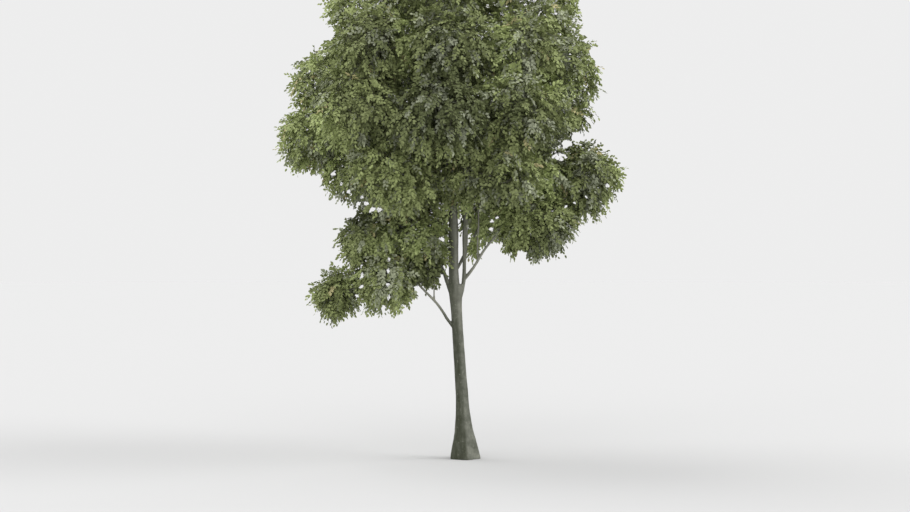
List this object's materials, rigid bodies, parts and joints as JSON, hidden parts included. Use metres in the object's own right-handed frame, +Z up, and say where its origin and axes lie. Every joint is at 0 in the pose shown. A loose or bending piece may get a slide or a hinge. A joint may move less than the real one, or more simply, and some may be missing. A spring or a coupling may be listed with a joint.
{
  "type": "american beech tree",
  "caption": "Mature American beech rooted in level ground: a slender bare trunk with a root flare, forked under a round crown built from uneven masses of foliage.",
  "frame": {"origin": "middle of the flat cut under the trunk, at ground level", "axes": "+Z up the tree; the view that was rebuilt looks along +Y, so the front faces -Y, and the low limb with the furthest-hanging foliage is on the -X side"},
  "size_m": [11.3581, 10.5961, 17.0528],
  "materials": {
    "bark": "smooth grey-green beech bark, matt",
    "leaves": "muted olive green leaves, matt to satin"
  },
  "bodies": {
    "root": {"bough_back_right": "bark", "bough_left_upright": "bark", "bough_low_left": "bark", "bough_low_right": "bark", "core_high": "leaves", "core_low": "leaves", "core_middle": "leaves", "crown_top": "leaves", "head_back": "leaves", "head_front": "leaves", "head_left": "leaves", "head_right": "leaves", "low_left_drop": "leaves", "low_left_inner": "leaves", "low_left_tip": "leaves", "low_left_top": "leaves", "low_right": "leaves", "low_right_inner": "leaves", "low_right_tip": "leaves", "riser_low_left": "bark", "riser_low_right": "bark", "riser_stem_right": "bark", "shoulder_back": "leaves", "shoulder_back_left": "leaves", "shoulder_back_right": "leaves", "shoulder_front": "leaves", "shoulder_front_left": "leaves", "shoulder_front_right": "leaves", "shoulder_left": "leaves", "shoulder_right": "leaves", "skirt_back_left": "leaves", "skirt_back_right": "leaves", "skirt_front_left": "leaves", "skirt_front_right": "leaves", "skirt_left": "leaves", "skirt_left_inner": "leaves", "skirt_right": "leaves", "stem_left": "bark", "stem_right": "bark", "trunk": "bark", "upper_left": "leaves", "waist_back": "leaves", "waist_back_left": "leaves", "waist_back_right": "leaves", "waist_front": "leaves", "waist_front_left": "leaves", "waist_front_right": "leaves", "waist_left": "leaves", "waist_right": "leaves"}
  },
  "joints": []
}
